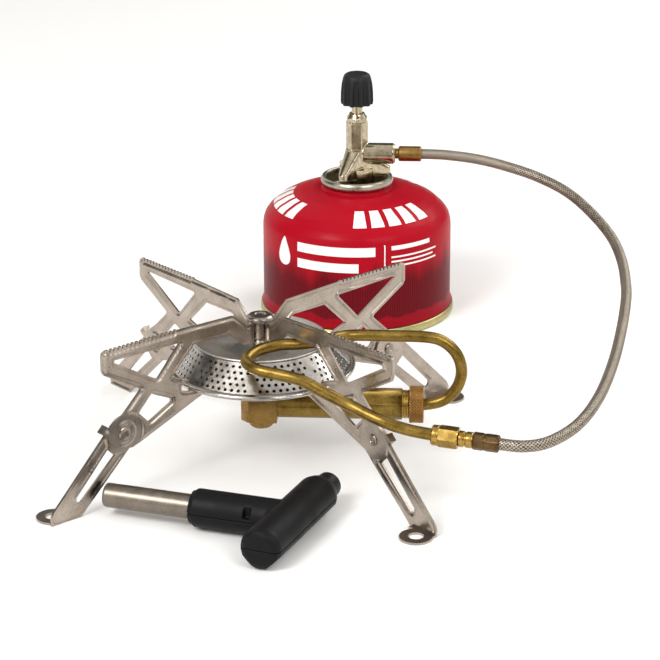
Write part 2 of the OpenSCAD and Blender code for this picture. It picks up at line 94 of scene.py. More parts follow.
def sweep(path, radius, sides, reference):
    """Circles of the radius (a number, or an array of rings by sides) square to the path; each ring
    starts at the reference direction with its part along the path taken away."""
    p = np.array(path, float)
    t = np.gradient(p, axis=0)
    t /= np.linalg.norm(t, axis=1, keepdims=True)
    ref = np.broadcast_to(np.array(reference, float), p.shape)
    n = ref - (ref * t).sum(1, keepdims=True) * t
    n /= np.linalg.norm(n, axis=1, keepdims=True)
    b = np.cross(t, n)
    angle = np.linspace(0, 2 * np.pi, sides, endpoint=False)
    r = np.broadcast_to(np.asarray(radius, float), (len(p), sides))[:, :, None]
    ring = np.cos(angle)[None, :, None] * n[:, None] + np.sin(angle)[None, :, None] * b[:, None]
    return (p[:, None] + r * ring).reshape(-1, 3)


def eased(profile, radius, closed=False):
    """Rounds each corner of a profile: from a radius before it to a radius after it along a
    quadratic curve of four points pulled towards the corner."""
    p = np.array(profile, float)
    before, after = np.roll(p, 1, 0) - p, np.roll(p, -1, 0) - p
    lb = np.linalg.norm(before, axis=1, keepdims=True)
    la = np.linalg.norm(after, axis=1, keepdims=True)
    reach = np.minimum(radius, 0.45 * np.minimum(lb, la))
    a, c = p + before / lb * reach, p + after / la * reach
    u = np.linspace(0, 1, 4)[None, :, None]
    curve = (1 - u) ** 2 * a[:, None] + 2 * u * (1 - u) * p[:, None] + u ** 2 * c[:, None]
    if closed:
        return curve.reshape(-1, 2)
    return np.vstack([p[:1], curve[1:-1].reshape(-1, 2), p[-1:]])


def revolve(profile, sides=96, flats=None, closed=False):
    """Turns a profile of (radius, height) round +Z. With flats = (count, half width, flat from,
    flat to) the radius between those heights is cut back to a prism's sides."""
    p = np.array(profile, float)
    angle = np.linspace(0, 2 * np.pi, sides, endpoint=False)
    r = np.broadcast_to(p[:, :1], (len(p), sides)).copy()
    if flats:
        count, half, low, high = flats
        sector = 2 * np.pi / count
        prism = half / np.cos((angle + sector / 2) % sector - sector / 2)
        cut = (p[:, 1] >= low) & (p[:, 1] <= high)
        r[cut] = np.minimum(r[cut], prism[None, :])
    v = np.stack([r * np.cos(angle), r * np.sin(angle),
                  np.broadcast_to(p[:, 1:], r.shape)], -1).reshape(-1, 3)
    return v, grid_faces(len(p), sides, wrap_rows=closed)


def facing(verts, origin, axis):
    """Moves points from a shape's own frame to the row's: its +Z becomes axis, its origin origin."""
    z = np.array(axis, float) / np.linalg.norm(axis)
    x = np.cross((0, 1, 0) if abs(z[1]) < 0.9 else (1, 0, 0), z)
    x /= np.linalg.norm(x)
    return np.array(origin, float) + np.asarray(verts) @ np.stack([x, np.cross(z, x), z])


def inside(points, a, b):
    """Even-odd rule: a point is inside when a ray from it crosses the edges a-b an odd number of
    times."""
    x, y = points[:, :1], points[:, 1:]
    spans = (a[:, 1] > y) != (b[:, 1] > y)
    slope = (b[:, 0] - a[:, 0]) / np.where(b[:, 1] == a[:, 1], 1, b[:, 1] - a[:, 1])
    return (spans & (x < a[:, 0] + (y - a[:, 1]) * slope)).sum(1) % 2 == 1


def edge_distance(points, a, b):
    """Shortest distance from each point to the edges a-b."""
    d = b - a
    w = points[:, None] - a[None]
    u = np.clip((w * d).sum(-1) / np.maximum((d * d).sum(-1), 1e-12), 0, 1)
    return np.sqrt((((w - u[..., None] * d) ** 2).sum(-1)).min(1))


def cut_sheet(points, edges, spacing):
    """Fills outlines with holes: an even lattice of points inside them, joined to the edges by a
    Delaunay mesh. Returns points, triangles and each point's distance from the nearest edge."""
    a, b = points[edges[:, 0]], points[edges[:, 1]]
    low, high = points.min(0), points.max(0)
    x, y = np.meshgrid(np.arange(low[0], high[0], spacing), np.arange(low[1], high[1], spacing * 0.87))
    x = x + np.where(np.arange(len(x)) % 2, spacing / 2, 0)[:, None]
    lattice = np.stack([x.ravel(), y.ravel()], 1)
    lattice = lattice[inside(lattice, a, b)]
    lattice = lattice[edge_distance(lattice, a, b) > 0.5 * spacing]
    every = np.vstack([points, lattice])
    out = delaunay_2d_cdt([Vector(p) for p in every], edges.tolist(), [], 0, 1e-6)
    flat = np.array([tuple(v) for v in out[0]])
    faces = np.array([f for f in out[2] if len(f) == 3])
    faces = faces[inside(flat[faces].mean(1), a, b)]
    return flat, faces, edge_distance(flat, a, b)


def ease_in(value):
    """0 below 0, 1 above 1, and a smooth S between."""
    v = np.clip(value, 0, 1)
    return v * v * (3 - 2 * v)


# ---------------------------------------------------------------- making pieces

def piece(name, verts, faces, body, material, stands_for=(), crown=None, sharp=32):
    """A mesh piece that rides on a body. Doubles are merged and faces turned outwards. crown is a
    height from 0 to 1 at each vertex, which the material uses to paint shade into the grooves and, on the
    braid, highlights on the crowns."""
    mesh = bpy.data.meshes.new(name)
    mesh.from_pydata(np.asarray(verts).tolist(), [],
                     faces.tolist() if isinstance(faces, np.ndarray) else faces)
    if crown is not None:
        height = mesh.attributes.new("crown", "FLOAT", "POINT")
        height.data.foreach_set("value", np.asarray(crown, np.float32).ravel())
    bm = bmesh.new()
    bm.from_mesh(mesh)
    bmesh.ops.remove_doubles(bm, verts=bm.verts, dist=2e-7)
    bmesh.ops.recalc_face_normals(bm, faces=bm.faces)
    bm.to_mesh(mesh)
    bm.free()
    return place(name, mesh, body, material, stands_for, sharp)


def place(name, mesh, body, material, stands_for=(), sharp=32):
    """Puts a finished mesh in the scene, smooth with edges over sharp degrees kept crisp."""
    mesh.shade_smooth()
    mesh.set_sharp_from_angle(angle=math.radians(sharp))
    mesh.materials.clear()
    mesh.materials.append(material)
    obj = bpy.data.objects.new(name, mesh)
    bpy.context.collection.objects.link(obj)
    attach(obj, body)
    if stands_for:
        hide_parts(*stands_for)
    return obj


def turned(name, profile, origin, axis, body, material, stands_for=(), ease=0.25, closed=False,
           flats=None, sides=96):
    """A lathe piece: a profile of (radius, height) in millimetres, corners eased, turned about axis."""
    v, f = revolve(eased(profile, ease, closed), sides, flats, closed)
    return piece(name, facing(v * MM, np.array(origin) * MM, axis), f, body, material, stands_for)


def merged_copy(node, dissolve=False):
    """A copy of a node's mesh with its loose triangles joined, and flat faces made whole if asked."""
    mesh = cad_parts[node].data.copy()
    bm = bmesh.new()
    bm.from_mesh(mesh)
    bmesh.ops.remove_doubles(bm, verts=bm.verts, dist=1e-6)
    if dissolve:
        bmesh.ops.dissolve_limit(bm, angle_limit=math.radians(1), verts=bm.verts, edges=bm.edges)
    bm.to_mesh(mesh)
    bm.free()
    return mesh


def raw_object(node, mesh):
    """A short-lived object that carries a mesh through its modifiers."""
    raw = bpy.data.objects.new(node + "_raw", mesh)
    bpy.context.collection.objects.link(raw)
    return raw


def finished_mesh(raw):
    """The mesh that an object's modifiers give; the object itself is removed."""
    done = bpy.data.meshes.new_from_object(raw.evaluated_get(bpy.context.evaluated_depsgraph_get()))
    bpy.data.objects.remove(raw)
    return done


def cast(node, body, material, voxel=0.3, passes=4):
    """A cast or moulded piece: the solid rebuilt from voxel-sized cells, its edges then relaxed into
    the small radii that a mould leaves."""
    raw = raw_object(node, merged_copy(node))
    cells = raw.modifiers.new("cells", "REMESH")
    cells.mode = "VOXEL"
    cells.voxel_size = voxel * MM
    relax = raw.modifiers.new("relax", "SMOOTH")
    relax.factor = 0.5
    relax.iterations = passes
    return place(node + "_moulded", finished_mesh(raw), body, material, (node,), sharp=70)


# ---------------------------------------------------------------- materials

def linear(code):
    """An sRGB hex colour as linear red, green, blue and alpha."""
    c = np.array([int(code[i:i + 2], 16) for i in (1, 3, 5)]) / 255
    return (*np.where(c <= 0.04045, c / 12.92, ((c + 0.055) / 1.055) ** 2.4), 1.0)


def add(tree, kind, inputs=None, stops=(), **settings):
    """Adds a node with its settings. inputs gives a value or another node's socket for each input,
    and stops gives a colour ramp's (place, hex) pairs."""
    n = tree.nodes.new("ShaderNode" + kind)
    for key, value in settings.items():
        setattr(n, key, value)
    for key, value in (inputs or {}).items():
        if isinstance(value, bpy.types.NodeSocket):
            tree.links.new(value, n.inputs[key])
        else:
            n.inputs[key].default_value = value
    for k, (at, code) in enumerate(stops):
        element = n.color_ramp.elements[k] if k < 2 else n.color_ramp.elements.new(at)
        element.position = at
        element.color = linear(code)
    return n


def start(name, **sockets):
    """A new material: its tree, its Principled shader with constant sockets set, and the object's
    own coordinates."""
    material = bpy.data.materials.new(name)
    material.use_nodes = True
    tree = material.node_tree
    shader = tree.nodes["Principled BSDF"]
    for key, value in sockets.items():
        shader.inputs[key.replace("_", " ")].default_value = value
    return material, tree, shader, add(tree, "TexCoord")


def worn_metal(name, dark, light, rough, grain_mm, depth_mm, patch_mm=9.0, grooved=False):
    """Bare metal: colour drifts between dark and light in soft patches, roughness between its two
    values, and a fine grain lies on top. With grooved, shade is painted into the grooves: the
    colour is darker where its piece's crown is low."""
    material, tree, shader, where = start(name, Metallic=1.0)
    patches = add(tree, "TexNoise", {"Vector": where.outputs["Object"], "Scale": 1000 / patch_mm,
                                     "Detail": 3.0, "Roughness": 0.6})
    grain = add(tree, "TexNoise", {"Vector": where.outputs["Object"], "Scale": 1000 / grain_mm,
                                   "Detail": 2.0})
    mixed = add(tree, "Math", {0: patches.outputs["Fac"], 1: grain.outputs["Fac"]}, operation="ADD")
    half = add(tree, "Math", {0: mixed.outputs[0], 1: 0.5}, operation="MULTIPLY")
    if grooved:
        # Painted shade: the colour darkens where the crown is low, down in the grooves.
        crown = add(tree, "Attribute", attribute_name="crown")
        low = add(tree, "MapRange", {"Value": crown.outputs["Fac"], "To Min": -0.45, "To Max": 0.15})
        half = add(tree, "Math", {0: half.outputs[0], 1: low.outputs[0]}, operation="ADD")
    tone = add(tree, "ValToRGB", {"Fac": half.outputs[0]}, stops=[(0.36, dark), (0.64, light)])
    tree.links.new(tone.outputs["Color"], shader.inputs["Base Color"])
    wear = add(tree, "MapRange", {"Value": patches.outputs["Fac"], "From Min": 0.3, "From Max": 0.7,
                                  "To Min": rough[0], "To Max": rough[1]})
    tree.links.new(wear.outputs[0], shader.inputs["Roughness"])
    bump = add(tree, "Bump", {"Height": grain.outputs["Fac"], "Strength": 0.5,
                              "Distance": depth_mm * MM})
    tree.links.new(bump.outputs[0], shader.inputs["Normal"])
    return material


def moulded_nylon(name, code, rough, grain_mm, depth_mm, gloss=0.28):
    """Glass-filled nylon, moulded black: a matt eroded texture that breaks up the highlights."""
    material, tree, shader, where = start(name, IOR=1.53, Specular_IOR_Level=gloss)
    shader.inputs["Base Color"].default_value = linear(code)
    cells = add(tree, "TexVoronoi", {"Vector": where.outputs["Object"], "Scale": 1000 / grain_mm})
    haze = add(tree, "TexNoise", {"Vector": where.outputs["Object"], "Scale": 120.0, "Detail": 3.0})
    wear = add(tree, "MapRange", {"Value": haze.outputs["Fac"], "From Min": 0.3, "From Max": 0.7,
                                  "To Min": rough - 0.07, "To Max": rough + 0.07})
    tree.links.new(wear.outputs[0], shader.inputs["Roughness"])
    bump = add(tree, "Bump", {"Height": cells.outputs["Distance"], "Strength": 0.6,
                              "Distance": depth_mm * MM})
    tree.links.new(bump.outputs[0], shader.inputs["Normal"])
    return material


def printed_tinplate():
    """Lithographed tinplate under clear lacquer: clean red above, and below a maroon band of thin
    upright lines 1.2 mm apart with a ragged top and foot."""
    material, tree, shader, where = start("printed_tinplate", Roughness=0.36, Coat_Weight=0.04,
                                          Coat_Roughness=0.12, IOR=1.45, Specular_IOR_Level=0.07)
    centre = add(tree, "Mapping", {"Vector": where.outputs["Object"], "Location": (-0.030, -0.183, 0)})
    axes = add(tree, "SeparateXYZ", {0: centre.outputs[0]})
    turn = add(tree, "Math", {0: axes.outputs["Y"], 1: axes.outputs["X"]}, operation="ARCTAN2")
    round_can = add(tree, "CombineXYZ", {0: turn.outputs[0]})
    steps = add(tree, "TexVoronoi", {"Vector": round_can.outputs[0], "Scale": 5.5},
                voronoi_dimensions="3D")
    jag = add(tree, "Math", {0: steps.outputs["Distance"], 1: 0.011, 2: axes.outputs["Z"]},
              operation="MULTIPLY_ADD")
    top = add(tree, "MapRange", {"Value": jag.outputs[0], "From Min": 0.031, "From Max": 0.041,
                                 "To Min": 1.0, "To Max": 0.0})
    foot_edge = add(tree, "Math", {0: steps.outputs["Distance"], 1: -0.004, 2: axes.outputs["Z"]},
                    operation="MULTIPLY_ADD")
    foot = add(tree, "MapRange", {"Value": foot_edge.outputs[0], "From Min": 0.0075, "From Max": 0.0085,
                                  "To Min": 0.4})
    band = add(tree, "Math", {0: top.outputs[0], 1: foot.outputs[0]}, operation="MULTIPLY")
    count = add(tree, "Math", {0: turn.outputs[0], 1: 236.0}, operation="MULTIPLY")
    line = add(tree, "Math", {0: count.outputs[0]}, operation="SINE")
    shade = add(tree, "MapRange", {"Value": line.outputs[0], "From Min": -0.6, "From Max": 0.6,
                                   "To Min": 0.72, "To Max": 1.0})
    weight = add(tree, "Math", {0: band.outputs[0], 1: shade.outputs[0]}, operation="MULTIPLY")
    ink = add(tree, "ValToRGB", {"Fac": weight.outputs[0]},
              stops=[(0.0, "#A60B1E"), (1.0, "#540B14"), (0.35, "#8C0B1A"), (0.72, "#6E0B17")])
    tree.links.new(ink.outputs["Color"], shader.inputs["Base Color"])
    peel = add(tree, "TexNoise", {"Vector": where.outputs["Object"], "Scale": 500.0})
    bump = add(tree, "Bump", {"Height": peel.outputs["Fac"], "Strength": 0.25, "Distance": 0.00002})
    tree.links.new(bump.outputs[0], shader.inputs["Normal"])
    return material


def woven_wire():
    """Stainless wire braid: painted shade in the gaps between the ribbons and painted highlight on the
    crowns, with a faint stain.
    """
    material, tree, shader, where = start("woven_wire", Metallic=1.0)
    crown = add(tree, "Attribute", attribute_name="crown")
    stain = add(tree, "TexNoise", {"Vector": where.outputs["Object"], "Scale": 260.0, "Detail": 4.0})
    mixed = add(tree, "Math", {0: stain.outputs["Fac"], 1: 0.4, 2: crown.outputs["Fac"]},
                operation="MULTIPLY_ADD")
    # Painted light: near black where the crown is low, in the gaps, and pale on the crowns.
    tone = add(tree, "ValToRGB", {"Fac": mixed.outputs[0]}, stops=[(0.66, "#15120F"), (1.0, "#B3A797")])
    tree.links.new(tone.outputs["Color"], shader.inputs["Base Color"])
    wear = add(tree, "MapRange", {"Value": stain.outputs["Fac"], "To Min": 0.3, "To Max": 0.5})
    tree.links.new(wear.outputs[0], shader.inputs["Roughness"])
    return material


def plain(name, code, rough, ior, **sockets):
    """A non-metal in one colour with a slight grain: ink, rubber or glazed ceramic."""
    material, tree, shader, where = start(name, IOR=ior, **sockets)
    shader.inputs["Base Color"].default_value = linear(code)
    cloud = add(tree, "TexNoise", {"Vector": where.outputs["Object"], "Scale": 1000 / PLAIN_GRAIN})
    wear = add(tree, "MapRange", {"Value": cloud.outputs["Fac"], "To Min": rough - 0.06,
                                  "To Max": rough + 0.06})
    tree.links.new(wear.outputs[0], shader.inputs["Roughness"])
    bump = add(tree, "Bump", {"Height": cloud.outputs["Fac"], "Strength": 0.3, "Distance": 0.00002})
    tree.links.new(bump.outputs[0], shader.inputs["Normal"])
    return material


# Stainless sheet, stamped and tumbled: satin and warm grey, with handling marks.
STAMPED = worn_metal("tumbled_stainless", "#978C81", "#BDB1A5", (0.26, 0.34), 0.35, 0.006, patch_mm=9)
# Stainless sheet, deep drawn and polished: near mirror, slightly hazed.
POLISHED = worn_metal("polished_stainless", "#A8A39C", "#CBC6BF", (0.1, 0.2), 0.5, 0.004, patch_mm=12)
# The bowl, polished inside and hazed by the flame: its reflections run together.
BOWL = worn_metal("hazed_stainless", "#A8A29A", "#D2CCC4", (0.3, 0.42), 0.5, 0.004, patch_mm=12)
# The same sheet where it is pierced: a little duller.
PIERCED = worn_metal("pierced_stainless", "#A5A099", "#CCC7C0", (0.16, 0.28), 0.4, 0.008, patch_mm=6)
# Turned stainless: darker, with heat haze from the flame.
TURNED = worn_metal("turned_stainless", "#7D7268", "#AEA398", (0.2, 0.34), 0.3, 0.01, patch_mm=3)
# Drawn brass tube, pickled and left to dull: olive with faint streaks.
DRAWN_BRASS = worn_metal("drawn_brass", "#6B5321", "#9C8142", (0.26, 0.42), 0.5, 0.012, patch_mm=6)
# Brass bar, machined: browner, with fine tool marks round it.
BAR_BRASS = worn_metal("machined_brass", "#74592F", "#A6834C", (0.26, 0.38), 0.25, 0.012, patch_mm=5)
# Knurled brass: orange, with painted shade darkening the grooves between the rolled ridges.
KNURL_BRASS = worn_metal("knurled_brass", "#7A5528", "#F0C184", (0.3, 0.4), 0.3, 0.01, patch_mm=3,
                         grooved=True)
# Pale brass fittings, bright from the lathe.
FITTING_BRASS = worn_metal("lathe_brass", "#93732F", "#BC9C5A", (0.2, 0.32), 0.25, 0.01, patch_mm=4)
# Bronze crimp sleeve, darkened.
BRONZE = worn_metal("dark_bronze", "#49371F", "#6F583A", (0.3, 0.44), 0.3, 0.015, patch_mm=3)
# Zinc casting, nickel plated: warm and glossy over a slightly uneven skin.
NICKEL = worn_metal("nickel_plate", "#A0937A", "#CCBEA3", (0.1, 0.2), 1.6, 0.03, patch_mm=5)
# Tinplate left bare: soft, slightly yellow.
TIN = worn_metal("bare_tinplate", "#9A9586", "#BFBAAA", (0.24, 0.36), 0.6, 0.01, patch_mm=6)
# Tinplate under gold lacquer at the foot seam.
GOLD_LACQUER = worn_metal("gold_lacquered_tinplate", "#A39A62", "#C6BD8A", (0.26, 0.36), 0.6, 0.008)
# Rolled steel tube, bright zinc.
LIGHTER_STEEL = worn_metal("rolled_steel_tube", "#6E655B", "#8D8479", (0.3, 0.4), 0.3, 0.012, patch_mm=5)
# Glass-filled nylon: the knob, then the lighter's duller grip and its smoother button.
NYLON = moulded_nylon("moulded_nylon", "#121214", 0.5, 0.35, 0.03)
GRIP_NYLON = moulded_nylon("grained_nylon", "#0B0B0D", 0.5, 0.35, 0.03, 0.15)
BUTTON_NYLON = moulded_nylon("smooth_nylon", "#0A0A0C", 0.4, 0.25, 0.01, 0.15)
# The can's printed paint, and the hose's wire braid.
PAINT = printed_tinplate()
BRAID = woven_wire()
# White printing ink on the tin.
INK = plain("white_ink", "#F1EEEA", 0.35, 1.5, Coat_Weight=0.5, Coat_Roughness=0.1)
# Nitrile rubber.
RUBBER = plain("nitrile_rubber", "#1A1A1A", 0.6, 1.52)
# Glazed steatite and cream acetal inside the lighter.
CERAMIC = plain("glazed_ceramic", "#E4DED0", 0.3, 1.6)


# ---------------------------------------------------------------- hose

HOSE_ROUTE = [
    (98.3, -62.6, 34.2), (108, -63.8, 34), (118, -58.5, 34), (129, -42.5, 34.5), (138, -18, 36),
    (145, 13, 38.5), (150, 45, 42), (153, 71, 46), (153.5, 86, 48.5), (152.5, 105, 52.5),
    (148.5, 124, 57), (140, 143.5, 62), (129.5, 159.5, 66.5), (116, 171.5, 70),
    (101, 178.5, 73), (87, 182, 75.3), (72.5, 183, 76.8), (60.6, 183, 77.2)]


def braided_hose():
    """A tube along the route whose radius carries the braid: five pairs of ribbons wound at 45
    degrees each way. Ribbon height is the size of a sine across it, and the two families take turns
    on top wherever the product of their sines changes sign. Real ribbons are about 0.6 mm wide, and
    these are 1.5 mm so that they show."""
    path = catmull(HOSE_ROUTE, 62)
    along = np.concatenate([[0], np.cumsum(np.linalg.norm(np.diff(path, axis=0), axis=1))])
    even = np.linspace(0, along[-1], 1600)
    path = np.stack([np.interp(even, along, path[:, k]) for k in range(3)], 1)
    sides = 56
    angle = np.linspace(0, 2 * np.pi, sides, endpoint=False)[None, :]
    one, two = np.sin(5 * (angle + even[:, None] / 2.4)), np.sin(5 * (angle - even[:, None] / 2.4))
    crown = np.abs(np.where(one * two > 0, one, two)) ** 0.8
    faces = grid_faces(len(path), sides).tolist()
    faces += [list(range(sides)), list(range((len(path) - 1) * sides, len(path) * sides))]
    # The crown also drives the braid's painted shade in the gaps and painted highlight on the crowns.
    hose = piece("hose_braid", sweep(path, 2.08 + 0.32 * crown, sides, (0, 0, 1)) * MM, faces, "stove",
                 BRAID, ("hose",), crown=crown, sharp=75)


# ---------------------------------------------------------------- stand

def leg_axes(azimuth):
    """Outward and clockwise directions of a leg."""
    a = math.radians(azimuth)
    return np.array((math.cos(a), math.sin(a), 0)), np.array((math.sin(a), -math.cos(a), 0))


def stamped(node, azimuth, planes, body, depth, rim, slope):
    """Sheet metal pressed in relief: both faces of the plate rise together by depth where they are
    further than rim plus slope from an edge, fading out round the rivet. Walls stay as they are."""
    out, side = leg_axes(azimuth)
    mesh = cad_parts[node].data
    co = np.zeros(len(mesh.vertices) * 3)
    mesh.vertices.foreach_get("co", co)
    co = co.reshape(-1, 3)
    mesh.calc_loop_triangles()
    tri = np.zeros(len(mesh.loop_triangles) * 3, int)
    mesh.loop_triangles.foreach_get("vertices", tri)
    tri = tri.reshape(-1, 3)
    own = np.stack([co @ out, co[:, 2], co @ side], 1) / MM
    keep = np.ones(len(tri), bool)
    verts, faces, total = [co], [], len(co)
    for plane in planes:
        flat = (np.abs(own[tri][:, :, 2] - plane) < 0.02).all(1)
        keep &= ~flat
        rounded, index = np.unique(np.round(own[tri[flat].ravel(), :2], 4), axis=0, return_inverse=True)
        pairs = index.reshape(-1, 3)[:, [0, 1, 1, 2, 2, 0]].reshape(-1, 2)
        pairs, count = np.unique(np.sort(pairs, 1), axis=0, return_counts=True)
        rim_pairs = pairs[count == 1]
        used, renumber = np.unique(rim_pairs.ravel(), return_inverse=True)
        sheet, cells, distance = cut_sheet(rounded[used], renumber.reshape(-1, 2), 0.5)
        from_rivet = sheet - RIVET
        rivet = np.hypot(from_rivet[:, 0], from_rivet[:, 1])
        rise = depth * ease_in((distance - rim) / slope) * ease_in((rivet - 8.2) / 1.2)
        if depth < 0:
            turn = np.arctan2(from_rivet[:, 1], from_rivet[:, 0])
            rise -= 0.4 * ease_in(1.6 - np.abs(rivet - 4.4) / 0.6) * ease_in((np.abs(turn) - 0.9) / 0.3)
        place_at = (sheet[:, :1] * out + (plane + rise)[:, None] * side) * MM
        place_at[:, 2] = sheet[:, 1] * MM
        verts.append(place_at)
        faces.append(cells + total)
        total += len(sheet)
    return piece(node + "_pressed", np.vstack(verts), np.vstack([tri[keep]] + faces), body, STAMPED,
                 (node,), sharp=40)


def stand():
    for name, azimuth in LEGS.items():
        out, side = leg_axes(azimuth)
        stamped("leg_" + name, azimuth, (-0.5, 0.5), "leg_" + name, -0.6, 0.85, 0.6)
        stamped("lower_leg_" + name, azimuth, (0.6, 1.6), "lower_leg_" + name, 0.5, 0.7, 0.5)
        centre = out * RIVET[0] + np.array((0, 0, RIVET[1]))
        turned("rivet_" + name + "_head",
               [(0, -1.25), (1.5, -1.25), (2.6, -0.95), (3.1, -0.62), (1.5, -0.62), (1.5, 1.7),
                (2.4, 1.7), (2.35, 2.05), (1.9, 2.35), (1.35, 2.4), (0.9, 2.0), (0, 1.9)],
               centre, side, "leg_" + name, TURNED, ("rivet_" + name,), ease=0.12,
               sides=40)


# ---------------------------------------------------------------- burner

# Rows of flame holes from the foot up: share of the slope, holes in a group, degrees between holes,
# and the row's shift in holes, which keeps each row staggered from the one below.
HOLE_ROWS = [(0.1, 9, 4.4, 0), (0.29, 8, 4.65, 0), (0.48, 8, 4.9, -0.5), (0.67, 7, 5.2, 0.5),
             (0.86, 7, 5.5, 0)]


def pierced_cone():
    """A cone of sheet 0.6 mm thick with real holes. The holes are cut in the unrolled sheet, whose
    across is degrees and whose up is the share of the slope, then both faces are wound round."""
    foot, top = np.array((36.8, 42.05)), np.array((27.45, 51.75))
    around, tall = 2 * np.pi * 32, np.linalg.norm(top - foot)
    rings, edges, total = [], [], 0
    for group in range(8):
        for share, count, pitch, shift in HOLE_ROWS:
            for k in range(count):
                middle = 22.5 + 45 * group + (k - (count - 1) / 2 + shift) * pitch
                t = np.linspace(0, 2 * np.pi, 10, endpoint=False)
                wide = 0.72 * 32 / (foot[0] + (top[0] - foot[0]) * share)
                rings.append(np.stack([middle / 360 * around + wide * np.cos(t),
                                       share * tall + 0.72 * np.sin(t)], 1))
                i = np.arange(10)
                edges.append(np.stack([total + i, total + (i + 1) % 10], 1))
                total += 10
    across = np.linspace(0, around, 181)
    low, high = np.stack([across, 0 * across], 1), np.stack([across[::-1], 0 * across + tall], 1)
    border = np.vstack([low, high])
    i = np.arange(len(border))
    edges.append(np.stack([total + i, total + (i + 1) % len(border)], 1))
    rings.append(border)
    edges = np.vstack(edges)
    sheet, cells, _ = cut_sheet(np.vstack(rings), edges, 1.25)
    slope = (top - foot) / tall
    angle = sheet[:, 0] / around * 2 * np.pi
    z = foot[1] + slope[1] * sheet[:, 1]
    faces, verts = [], []
    for layer, depth in enumerate((0.0, 0.6)):
        r = foot[0] + slope[0] * sheet[:, 1] - slope[1] * depth
        verts.append(np.stack([r * np.cos(angle), r * np.sin(angle), z], 1))
        faces.append(cells + layer * len(sheet))
    tris = np.vstack(faces)
    walls = [[a, b, b + len(sheet), a + len(sheet)] for a, b in edges.tolist()
             if not (abs(sheet[a, 0] - sheet[b, 0]) < 1e-6 and sheet[a, 0] in (0.0, around)
                     and abs(sheet[a, 1] - sheet[b, 1]) > tall / 2)]
    piece("cone_pierced", np.vstack(verts) * MM, tris.tolist() + walls, "stove", PIERCED,
          ("burner_cone",), sharp=40)


def burner():
    up = (0, 0, 1)
    turned("bowl_polished",
           [(2.3, 45.4), (12, 46.4), (20, 48.8), (26.9, 51.9), (27.35, 51.9), (27.75, 52.3), (27.6, 52.8),
            (27.1, 52.95), (26.4, 52.6), (19.6, 49.6), (12, 47.2), (2.3, 46.2)],
           (0, 0, 0), up, "stove", BOWL, ("burner_bowl",), ease=0.5, closed=True,
           sides=144)
    turned("flange_rolled",
           [(5.1, 41.2), (37.2, 41.2), (38.1, 39.95), (38.9, 40.2), (39.2, 41), (38.95, 41.75),
            (38.2, 42.1), (37.4, 41.98), (5.1, 41.98)],
           (0, 0, 0), up, "stove", POLISHED, ("burner_base",), ease=0.35, closed=True,
           sides=160)
    pierced_cone()
    turned("post_turned",
           [(0, 42.2), (2.15, 42.2), (2.15, 47.6), (3.2, 47.6), (3.44, 47.9), (3.44, 51.6), (3.1, 51.9),
            (3.05, 52.3), (3.1, 52.7), (3.44, 53), (3.44, 59.4), (3.7, 59.7), (4.2, 59.72), (5.3, 60.3),
            (5.6, 61.1), (5.4, 62), (4.5, 62.7), (2.6, 62.88), (2.1, 62.6), (1.9, 62.4), (0, 62.38)],
           (0, 0, 0), up, "stove", TURNED, ("centre_post",), ease=0.2, sides=72)


# ---------------------------------------------------------------- gas path

def knurl():
    """Nut with a diamond knurl: the radius rises to a point where two sets of 40 helical ridges, one
    each way, cross. A ridge is a triangle wave, and the height is the lower of the two."""
    x = np.concatenate([[0, 0, 0.25], np.linspace(0.6, 5.4, 41), [5.75, 6, 6]])
    angle = np.linspace(0, 2 * np.pi, 400, endpoint=False)
    a, s = np.meshgrid(angle, x)
    ridge = np.minimum(np.abs((40 * (a + s / 7.8) / np.pi) % 2 - 1),
                       np.abs((40 * (a - s / 7.8) / np.pi) % 2 - 1))
    crown = np.where((s > 0.5) & (s < 5.5), ridge, 0.6)
    r = 7.41 + 0.38 * crown
    r[0], r[1], r[-2], r[-1] = 5.68, 7.2, 7.2, 2.7
    bore = np.array([(4.1, 2.7), (4.1, 5.68)])
    x = np.concatenate([x, bore[:, 0]])
    r = np.vstack([r, np.repeat(bore[:, 1:], len(angle), 1)])
    crown = np.vstack([crown, np.full((2, len(angle)), 0.6)])
    verts = np.stack([np.broadcast_to(x[:, None] + 61.4, r.shape), r * np.cos(angle),
                      r * np.sin(angle) + 24.3], -1).reshape(-1, 3)
    # crown also sets the painted shade in the grooves of the knurled brass.
    piece("nut_knurled", verts * MM, grid_faces(len(x), len(angle), wrap_rows=True), "nut", KNURL_BRASS,
          ("knurled_nut",), crown=crown, sharp=75)


PREHEAT_RUN = [
    (52, 0, 54.3), (38, -1.5, 54.8), (30, -7, 55.4), (25, -11, 55.6), (20, -13.5, 55.6),
    (15, -15, 55.6), (9.5, -17, 56), (2, -23.5, 56.2), (-2, -30.5, 55.8), (-2, -35.5, 55),
    (3, -41, 54.3), (10.5, -43, 53.5), (20, -45, 52), (29.5, -46.5, 47.5), (40, -48.7, 43),
    (51.3, -54.8, 40), (61.5, -56.8, 37.2), (72, -58, 35.6)]


def preheat():
    """The brass tube: a half circle of radius 14.9 mm up from the nut, then the bent run over the
    burner, as one circle swept along."""
    turn = np.radians(np.arange(-90, 91, 30))
    bend = np.stack([67.8 + 14.9 * np.cos(turn), 0 * turn, 39.2 + 14.9 * np.sin(turn)], 1)
    path = catmull(np.vstack([[(61.6, 0, 24.3)], bend, PREHEAT_RUN]), 10)
    sides = 32
    v = sweep(path, 2.4, sides, (0.58, 0.58, -0.58))
    ends = [list(range(sides)), list(range((len(path) - 1) * sides, len(path) * sides))[::-1]]
    piece("preheat_tube_bent", v * MM, grid_faces(len(path), sides).tolist() + ends, "stove",
          DRAWN_BRASS, ("preheat_tube",), sharp=50)


